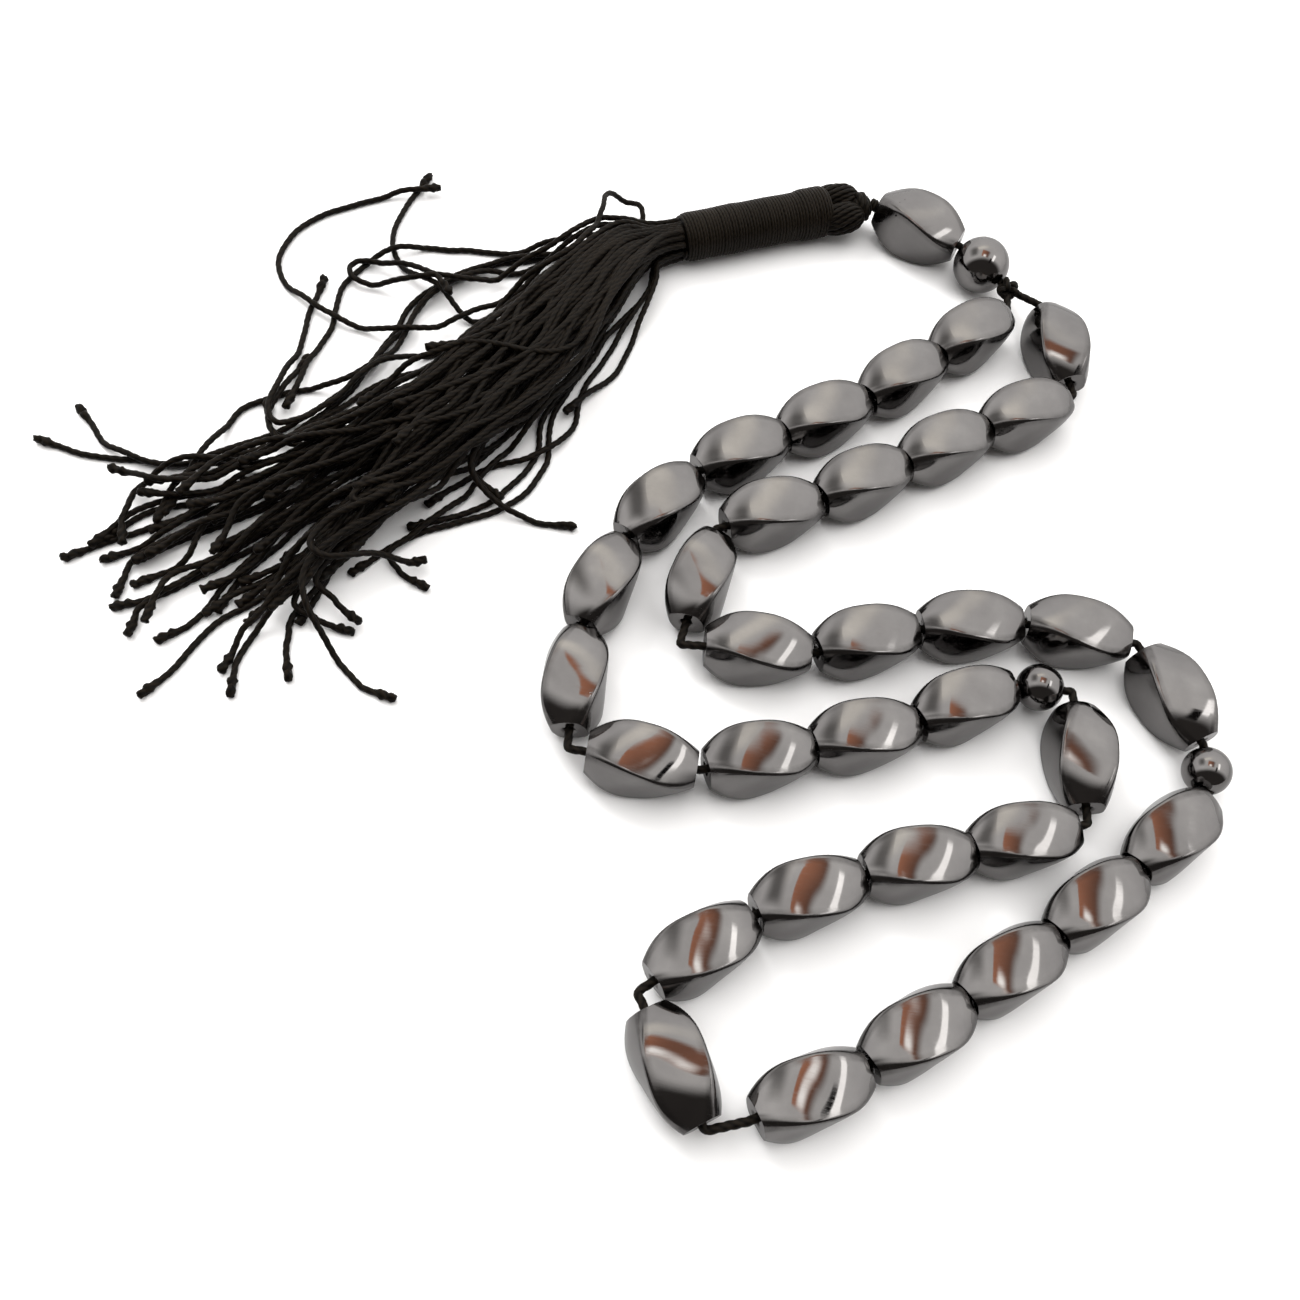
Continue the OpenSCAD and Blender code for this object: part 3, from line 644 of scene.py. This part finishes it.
def ball_mesh(name, centre, turn, radius, mat):
    n, m = 60, 72
    a0 = math.asin(BORE_R / radius)
    a = np.linspace(a0, math.pi - a0, n)
    prof = [(-radius * math.cos(x), radius * math.sin(x)) for x in a]
    x0, x1 = prof[0][0], prof[-1][0]
    prof = [(x0 + 2.0, BORE_R), (x0 + 0.25, BORE_R)] + [(x, max(r, BORE_R)) for x, r in prof] + [(x1 - 0.25, BORE_R), (x1 - 2.0, BORE_R)]
    # edge marks the rims at the bore and the bore itself, which the stone material paints dark: painted shade round
    # and in the holes
    ed = [1, 1] + [1 if min(i, n - 1 - i) < 2 else 0 for i in range(n)] + [1, 1]
    ph = np.linspace(0, 2 * np.pi, m, endpoint=False)
    V = np.vstack([np.column_stack([np.full(m, x), r * np.cos(ph), r * np.sin(ph)]) for x, r in prof])
    c, s = math.cos(math.radians(turn)), math.sin(math.radians(turn))
    R = np.array([[c, s, 0], [-s, c, 0], [0, 0, 1]])
    V = V @ R + np.asarray(centre)
    Q = grid_faces(len(prof), m)[:, ::-1]
    return add_mesh(name, V, Q, mat, (), {"edge": np.repeat(np.array(ed, float), m)})


ROUND_MID, ROUND_END = 0.12, 0.5
stones = [hematite(f"polished_hematite_{k}", k) for k in range(5)]


def place(joint):
    j = JOINT[joint]
    ax = j["axis"]
    return np.array(j["pos_m"]) / MM, math.degrees(math.atan2(ax[1], ax[0]))


for i in range(1, 34):
    name = f"bead_{i:02d}"
    c, a = place(name + "_spin")
    o = bead_mesh("stone_" + name, c, a, BEAD_L, BEAD_W, 0.0, stones[(i * 7) % 5], i)
    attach(o, name)
    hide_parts(name)
c, a = place("imame_bead_spin")
o = bead_mesh("stone_imame", c, a, IMAME_L, IMAME_W, 0.0, stones[2], 90)
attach(o, "imame_bead")
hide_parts("imame_bead")
for name, rad in (("divider_1", DIVIDER_R), ("divider_2", DIVIDER_R), ("head_ball", BALL_R)):
    c, a = place(name + "_spin")
    o = ball_mesh("stone_" + name, c, a, rad, stones[len(name) % 5])
    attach(o, name)
    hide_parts(name)

# ------------------------------------------------------------------ cord of the loop
TURN_1 = [-88, -133, -134, -142, -142, -122, -103, -85, 1, 23, 24, 33,
          3, -83, -157, -157, -150, -137, -54]
TURN_2 = [-21, -72, -145, -143, -143, -151, -97, 7, 25, 15, 0, -57,
          -87, -130, -134, -138, -139, -147]
LEAD_1, LEAD_2, END_GAP, BEAD_GAP = 4.0, 5.0, 0.6, 0.12
BEAD_Z = JOINT["bead_01_spin"]["pos_m"][2] / MM
END_R = BEAD_END / 2 * math.sqrt(1 + 0.4 ** 2)


def corners(turn, kinds, lead):
    def bend(i):
        if i <= 0 or i >= len(turn):
            return 0
        d = turn[i] - turn[i - 1]
        return abs(d - 360 * round(d / 360))

    def half(kind, b):
        b = math.radians(b / 2)
        return END_R * math.tan(b) + BEAD_GAP if kind == 1 else DIVIDER_R * (1 / math.cos(b) - 1) + BEAD_GAP
    p = np.zeros(2)
    out = []
    for i, (a, k) in enumerate(zip(turn, kinds)):
        if k == 0:
            d = lead
        else:
            d = half(k, bend(i)) + (BEAD_L if k == 1 else 2 * DIVIDER_R) + (END_GAP if i == len(turn) - 1 else half(k, bend(i + 1)))
        p = p + d * heading(a)[:2]
        out.append(p.copy())
    return out


KIND_1 = [0] + [1] * 11 + [2] + [1] * 6
KIND_2 = [0] + [1] * 11 + [2] + [1] * 5
ring = [heading(TURN_1[0])[:2] * 0.9] + corners(TURN_1, KIND_1, LEAD_1) + corners(TURN_2, KIND_2, LEAD_2)[::-1] + [heading(TURN_2[0])[:2] * 0.9]
ring = np.column_stack([np.array(ring), np.full(len(ring), BEAD_Z)])


def soft_corners(P, radius=0.55, step=0.18):
    """The polyline P with its corners rounded a little, and points close together."""
    out = [P[0]]
    for i in range(1, len(P) - 1):
        a, b = unit(P[i - 1] - P[i]), unit(P[i + 1] - P[i])
        cut = min(radius, 0.45 * np.linalg.norm(P[i - 1] - P[i]), 0.45 * np.linalg.norm(P[i + 1] - P[i]))
        p, q = P[i] + a * cut, P[i] + b * cut
        for t in np.linspace(0, 1, 6):
            out.append((1 - t) ** 2 * p + 2 * t * (1 - t) * P[i] + t ** 2 * q)
    out.append(P[-1])
    return resample(np.array(out), step)


loop_mat = cord_mat("black_loop_cord", light=(0.0075, 0.0058, 0.004), dark=(0.0008, 0.0006, 0.0005), fibre=2200.0)
V, F, E, G = ply_tube(soft_corners(ring, 0.35), CORD_R, 3, 3.4, 0.2, 12)
o = add_mesh("loop_cord", V, F, loop_mat, E, {"groove": G})
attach(o, "cord_loop")
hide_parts("string_cord")

# main knot: a tightened overhand knot in the doubled cord
t = np.linspace(0, 2 * np.pi, 220, endpoint=False)
kx = (0.74 + 0.36 * np.cos(3 * t)) * np.cos(2 * t)
ky = (0.74 + 0.36 * np.cos(3 * t)) * np.sin(2 * t)
kz = 0.42 * np.sin(3 * t) * 1.25
K = np.column_stack([kx, ky, kz])
K = np.vstack([K, K[:2]])
tilt = Matrix.Rotation(0.5, 3, "X") @ Matrix.Rotation(0.7, 3, "Y")
K = 1.1 * K @ np.array(tilt).T + np.array([0, 0, BEAD_Z + 0.1])
# the knot is pressed flat where the head ball lies against it as the neck swings
hb = np.array(JOINT["head_ball_spin"]["pos_m"]) / MM
for swing in np.radians(np.arange(-47, 3, 4)):
    cs, sn = math.cos(swing), math.sin(swing)
    c = np.array([hb[0] * cs - hb[1] * sn, hb[0] * sn + hb[1] * cs, hb[2]])
    d = K - c
    away = np.linalg.norm(d, axis=1)
    K = c + d * (np.maximum(away, 3.7 + 0.45 + 0.08) / away)[:, None]
pile = Pile()
pile.add(*ply_tube(K, 0.45, 3, 3.0, 0.2, 12))
for sgn in (-1, 1):
    tag = catmull([(0.3 * sgn, -0.2, BEAD_Z + 0.4), (0.9 * sgn, -0.9, BEAD_Z + 0.9), (1.3 * sgn, -1.2, BEAD_Z + 0.6)], 8)
    pile.add(*ply_tube(resample(tag, 0.15), 0.38, 3, 3.0, 0.22, 10))
o = pile.build("knot_main", loop_mat)
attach(o, "cord_loop")
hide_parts("main_knot")

# neck cord, from the knot through the ball and the imame bead
nb_c, nb_a = place("head_ball_spin")
im_c, im_a = place("imame_bead_spin")
h1, h2 = heading(nb_a), heading(im_a)
# where the two axes cross
A = np.array([[h1[0], -h2[0]], [h1[1], -h2[1]]])
sol = np.linalg.solve(A, (im_c - nb_c)[:2])
NECK_BEND = nb_c + sol[0] * h1
neck = np.array([np.array([0, 0, NECK_Z]) + 1.1 * h1, NECK_BEND, NECK_END + 0.35 * h2])
pile = Pile()
pile.add(*ply_tube(soft_corners(neck, 0.5), CORD_R, 3, 3.4, 0.2, 12))
pile.add(*ply_tube(ring_points(NECK_END - 0.42 * h2, h2, 0.5, 40, 2.0, 0.42, 0.9, 0.04), 0.36, 3, 3.0, 0.2, 10))
o = pile.build("neck_twist", loop_mat)
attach(o, "neck")
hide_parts("neck_cord")

# ------------------------------------------------------------------ tassel head
head_dir = unit(FOLD_END - NECK_END)
head_side = np.cross([0, 0, 1.0], heading(FOLD_TURN))
head_up = np.cross(head_dir, head_side)
HEAD_L = np.linalg.norm(FOLD_END - NECK_END)


pile = Pile()
pile.add(*ply_tube(ring_points(NECK_END + head_dir * 0.75, head_dir, 0.95, 40, 4.0, 0.5, 0.4, 0.05), 0.42, 3, 3.0, 0.2, 10))
pile.add(*ply_tube(ring_points(NECK_END + head_dir * 1.3, head_dir, 1.5, 44, 2.0, 0.55, 1.4, 0.06), 0.45, 3, 3.0, 0.2, 10))
o = pile.build("collar_turns", loop_mat)
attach(o, "tassel")
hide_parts("tassel_collar")

pile_a, pile_b = Pile(), Pile()
for sgn, pl in ((-1, pile_a), (1, pile_b)):
    g = np.random.default_rng(70 + sgn)
    p0 = NECK_END + head_dir * 2.1 + sgn * 1.6 * head_side
    p1 = FOLD_END + heading(FOLD_TURN) * 1.3 + sgn * 1.9 * head_side
    ax = unit(p1 - p0)
    ln = np.linalg.norm(p1 - p0)
    s1 = unit(np.cross(ax, [0, 0, 1.0]))
    u1 = np.cross(s1, ax)
    for k in range(16):
        ph = 2 * np.pi * k / 16 + g.uniform(-0.08, 0.08)
        tt = 0.5 - 0.5 * np.cos(np.pi * np.linspace(0, 1, 60))
        rr = 1.78 * np.sqrt(np.maximum(0.01, 1 - np.abs(2 * tt - 1) ** 2.5 * 0.985)) * (1 + g.uniform(-0.06, 0.06))
        an = ph + 1.3 * (tt - 0.5)
        pts = p0 + (tt * ln)[:, None] * ax + rr[:, None] * (np.cos(an)[:, None] * s1 + np.sin(an)[:, None] * u1)
        pl.add(*ply_tube(resample(pts, 0.16), 0.36, 3, 3.2, 0.22, 9, g.uniform(0, 6)))
for nm, pl in (("fold_left", pile_a), ("fold_right", pile_b)):
    o = pl.build(nm, strand_mat)
    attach(o, "tassel")
    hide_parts("hank_loops")
pile = Pile()
for k in range(9):
    ph = 2 * np.pi * k / 9
    tt = np.linspace(0, 1, 30)
    pts = NECK_END + (2.0 + tt * (HEAD_L - 1.2))[:, None] * head_dir + 0.75 * (math.cos(ph) * head_side + math.sin(ph) * head_up)
    pile.add(*ply_tube(resample(pts, 0.2), 0.36, 3, 3.2, 0.22, 9, ph))
o = pile.build("hank_bundle", strand_mat)
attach(o, "tassel")
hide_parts("hank_core")

# binding: one fine thread wound round the bundle, and a smooth core under it
thread_mat = cord_mat("binding_thread_black", light=(0.0105, 0.0078, 0.005), dark=(0.0008, 0.0006, 0.0005), rough=0.33, fibre=3500.0)
TURNS = 50
w = heading(WHIP_TURN)
a = np.linspace(0, 2 * np.pi * TURNS, TURNS * 56)
u = a / a[-1]
g = np.random.default_rng(5)
slow = np.interp(u, np.linspace(0, 1, 15), g.uniform(-1, 1, 15))
rad = (WHIP_R - 0.36 + 0.1 * np.sin(np.pi * u) + 0.05 * slow + 0.22 * (0.5 - 0.5 * np.tanh((u - 0.19) / 0.012))
       - 0.4 * np.clip((u - 0.94) / 0.06, 0, 1) ** 2 - 0.3 * np.clip((0.03 - u) / 0.03, 0, 1))
side = np.cross([0, 0, 1.0], w)
lay = np.interp(u, np.linspace(0, 1, TURNS * 2), g.uniform(-0.05, 0.05, TURNS * 2))
P = FOLD_END + ((0.2 + u * (WHIP_L - 0.4)) + lay)[:, None] * w + rad[:, None] * (np.cos(a)[:, None] * side + np.sin(a)[:, None] * np.array([0, 0, 1.0]))
pile = Pile()
pile.add(*ply_tube(P, 0.225, 2, 1.2, 0.22, 8))
o = pile.build("binding_thread", thread_mat)
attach(o, "tassel")
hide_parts("whipping")
n, m = 40, 48
tt = np.linspace(0, 1, n)
rr = (WHIP_R - 0.5) * np.ones(n)
rr[0] = rr[-1] = 0.3
rr[1] = rr[-2] = WHIP_R - 0.7
ph = np.linspace(0, 2 * np.pi, m, endpoint=False)
V = (FOLD_END + (0.05 + tt * (WHIP_L - 0.1))[:, None, None] * w
     + rr[:, None, None] * (np.cos(ph)[None, :, None] * side + np.sin(ph)[None, :, None] * np.array([0, 0, 1.0]))).reshape(-1, 3)
# the core's groove value of 0.6 makes the stranded material paint it dark all over: painted shade under the thread
# turns
o = add_mesh("binding_core", V, grid_faces(n, m), strand_mat, [list(range(m))[::-1], [(n - 1) * m + k for k in range(m)]], {"groove": np.full(n * m, 0.6)})
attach(o, "tassel")
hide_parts("whipping")


# ------------------------------------------------------------------ floor and light
def plane(name, centre, size, mat, normal=(0, 0, 1), up=(0, 1, 0)):
    nrm, upv = Vector(normal).normalized(), Vector(up)
    right = upv.cross(nrm).normalized()
    upv = nrm.cross(right)
    c = Vector(centre)
    vs = [c + right * (x * size[0] / 2) + upv * (y * size[1] / 2) for x, y in ((-1, -1), (1, -1), (1, 1), (-1, 1))]
    me = bpy.data.meshes.new(name)
    me.from_pydata([tuple(v * MM) for v in vs], [], [(0, 1, 2, 3)])
    me.materials.append(mat)
    o = bpy.data.objects.new(name, me)
    scene.collection.objects.link(o)
    return o


m, nt, bsdf = new_mat("pale_floor")
tc = node(nt, "ShaderNodeTexCoord")
n1 = node(nt, "ShaderNodeTexNoise", inputs={"Scale": 40.0, "Detail": 2.0})
nt.links.new(tc.outputs["Object"], n1.inputs["Vector"])
nt.links.new(ramp(nt, n1.outputs["Fac"], [(0.3, (0.90, 0.895, 0.893)), (0.7, (0.93, 0.925, 0.922))]), bsdf.inputs["Base Color"])
bsdf.inputs["Roughness"].default_value = 0.6
bsdf.inputs["Specular IOR Level"].default_value = 0.2
plane("floor", (0, 0, 0), (6000, 6000), m)


def card(name, centre, size, colour, turn=0.0, soft=(0.2, 0.2, 0.2, 0.2), far=None):
    """A glowing sheet that only reflections see, facing the middle of the beads; colour is its radiance.
    soft is the share of its width over which each edge fades: left, right, lower, upper."""
    m, nt, bsdf = new_mat(name)
    bsdf.inputs["Base Color"].default_value = (0, 0, 0, 1)
    bsdf.inputs["Roughness"].default_value = 1.0
    bsdf.inputs["Specular IOR Level"].default_value = 0.0
    at_ = node(nt, "ShaderNodeAttribute", attribute_name="across")
    nt.links.new(ramp(nt, at_.outputs["Fac"], [(0.0, colour), (1.0, far or colour)]), bsdf.inputs["Emission Color"])
    bsdf.inputs["Emission Strength"].default_value = 4.0
    fade = node(nt, "ShaderNodeAttribute", attribute_name="fade")
    nt.links.new(fade.outputs["Fac"], bsdf.inputs["Alpha"])
    c = Vector(centre)
    t = math.radians(turn)
    nrm = (Vector(MIDDLE) - c).normalized()
    upv = Vector((math.sin(t), math.cos(t), 0.0))
    right = upv.cross(nrm).normalized()
    upv = nrm.cross(right)
    n = 33
    x, y = np.meshgrid(np.linspace(-1, 1, n), np.linspace(-1, 1, n), indexing="ij")
    V = np.array(c) + x.reshape(-1, 1) * np.array(right) * size[0] / 2 + y.reshape(-1, 1) * np.array(upv) * size[1] / 2

    def edge(d, k):
        v = np.clip(d / max(2 * k, 1e-3), 0, 1)
        return v * v * (3 - 2 * v)
    f = edge(1 + x, soft[0]) * edge(1 - x, soft[1]) * edge(1 + y, soft[2]) * edge(1 - y, soft[3])
    o = add_mesh(name, V, grid_faces(n, n, close=False), m, (), {"fade": f.ravel(), "across": ((x + 1) / 2).ravel()})
    o.visible_camera = False
    o.visible_diffuse = False
    o.visible_shadow = False
    o.visible_transmission = False
    return o


MIDDLE = (-15, -60, 4)


def at(x_tilt, angle, dist):
    """A point above the beads: angle 0 is level away from the camera, 90 overhead, 180 level towards it."""
    a, b = math.radians(angle), math.radians(x_tilt)
    return (MIDDLE[0] + dist * math.sin(b), MIDDLE[1] + dist * math.cos(b) * math.cos(a), MIDDLE[2] + dist * math.cos(b) * math.sin(a))


card("lamp_glow", at(-10, 52, 430), (480, 210), (0.52, 0.50, 0.46), -12, (0.45, 0.45, 0.45, 0.45))
card("hand", at(4, 78, 400), (230, 230), (0.03, 0.024, 0.022), 14, (0.35, 0.02, 0.12, 0.25), (0.29, 0.125, 0.075))
card("lamp_spot", at(-1, 86, 380), (110, 110), (0.85, 0.83, 0.80), 20, (0.5, 0.35, 0.45, 0.5))
card("sleeve", at(24, 104, 395), (60, 170), (0.004, 0.0035, 0.0035), 10, (0.1, 0.3, 0.3, 0.1))
card("side_window", at(36, 86, 400), (80, 210), (1.0, 0.99, 0.97), 10, (0.2, 0.2, 0.2, 0.2))
card("low_shade", at(-38, 60, 420), (330, 420), (0.10, 0.097, 0.094), 0, (0.4, 0.5, 0.4, 0.4))

m, nt, bsdf = new_mat("table_shade")
bsdf.inputs["Base Color"].default_value = (0, 0, 0, 1)
bsdf.inputs["Roughness"].default_value = 1.0
bsdf.inputs["Specular IOR Level"].default_value = 0.0
bsdf.inputs["Emission Color"].default_value = (0.03, 0.028, 0.028, 1)
bsdf.inputs["Emission Strength"].default_value = 1.0
bsdf.inputs["Alpha"].default_value = 0.5
o = plane("table_shade", (-15, -50, 0.03), (900, 900), m)
o.visible_camera = False
o.visible_diffuse = False
o.visible_shadow = False
o.visible_transmission = False

world = bpy.data.worlds.new("studio")
scene.world = world
world.use_nodes = True
wt = world.node_tree
bg = wt.nodes["Background"]
wc = node(wt, "ShaderNodeTexCoord")
sep = node(wt, "ShaderNodeSeparateXYZ")
wt.links.new(wc.outputs["Generated"], sep.inputs[0])
up_down = ramp(wt, sep.outputs["Z"], [(0.0, (0.7, 0.69, 0.68)), (0.4, (0.9, 0.885, 0.875)), (0.75, (1.0, 0.985, 0.965)), (1.0, (0.9, 0.88, 0.86))])
# the side towards the camera is the dark room behind the photographer
near = node(wt, "ShaderNodeMapRange", interpolation_type="SMOOTHSTEP", inputs={"From Min": 0.1, "From Max": 0.45, "To Min": 0.0, "To Max": 1.0})
neg = node(wt, "ShaderNodeMath", operation="MULTIPLY", inputs={1: -1.0})
wt.links.new(sep.outputs["Y"], neg.inputs[0])
wt.links.new(neg.outputs[0], near.inputs["Value"])
wm = node(wt, "ShaderNodeMix", data_type="RGBA")
wt.links.new(near.outputs["Result"], wm.inputs["Factor"])
wt.links.new(up_down, wm.inputs["A"])
wm.inputs["B"].default_value = (0.05, 0.045, 0.042, 1)
wt.links.new(wm.outputs["Result"], bg.inputs["Color"])
bg.inputs["Strength"].default_value = 1.5
# behind the floor's edge, from any side, the backdrop is as pale as the floor
pale = node(wt, "ShaderNodeBackground", inputs={"Color": (0.96, 0.955, 0.95, 1), "Strength": 1.0})
lp = node(wt, "ShaderNodeLightPath")
mx = node(wt, "ShaderNodeMixShader")
wt.links.new(lp.outputs["Is Camera Ray"], mx.inputs[0])
wt.links.new(bg.outputs[0], mx.inputs[1])
wt.links.new(pale.outputs[0], mx.inputs[2])
wt.links.new(mx.outputs[0], wt.nodes["World Output"].inputs["Surface"])


def area(name, pos, look, size, power, colour=(1, 1, 1), glossy=False):
    li = bpy.data.lights.new(name, "AREA")
    li.shape = "RECTANGLE"
    li.size, li.size_y = size[0] * MM, size[1] * MM
    li.energy = power
    li.color = colour
    o = bpy.data.objects.new(name, li)
    scene.collection.objects.link(o)
    o.location = Vector(pos) * MM
    o.rotation_mode = "QUATERNION"
    o.rotation_quaternion = (Vector(look) - Vector(pos)).to_track_quat("-Z", "Y")
    o.visible_glossy = glossy
    return o


area("big_soft", (-60, 40, 700), (-40, -50, 0), (900, 900), 4.2)
area("key", (-420, 330, 520), (-40, -50, 0), (260, 260), 3.0)
scene.view_settings.view_transform = "Standard"
scene.view_settings.look = "None"
scene.view_settings.exposure = 0.0
